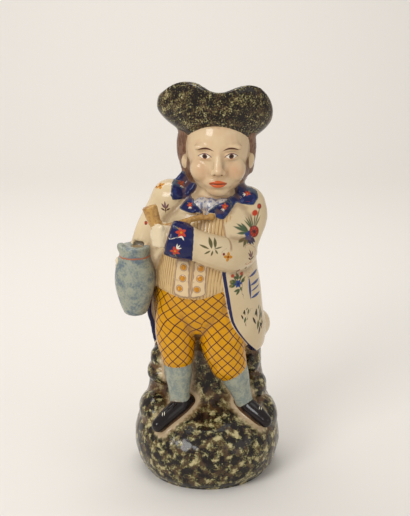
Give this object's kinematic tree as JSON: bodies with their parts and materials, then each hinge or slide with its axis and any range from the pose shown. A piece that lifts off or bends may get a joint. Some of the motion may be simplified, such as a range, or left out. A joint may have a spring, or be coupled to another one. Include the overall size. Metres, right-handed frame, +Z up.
{
  "type": "figure jug",
  "caption": "Tin-glazed pottery jug shaped as a standing man in a cocked hat on a rock, with a strap handle behind and an open hat for a mouth.",
  "frame": {"origin": "centre of the flat underside, on the ground", "axes": "+Z up; the man faces -Y; +X is the viewer's right, the side of the arm across the chest; the handle is towards +Y"},
  "size_m": [0.1256, 0.1195, 0.302],
  "materials": {
    "tin_glaze": "glossy tin glaze, hand painted"
  },
  "bodies": {
    "root": {"jug": "tin_glaze"}
  },
  "joints": []
}
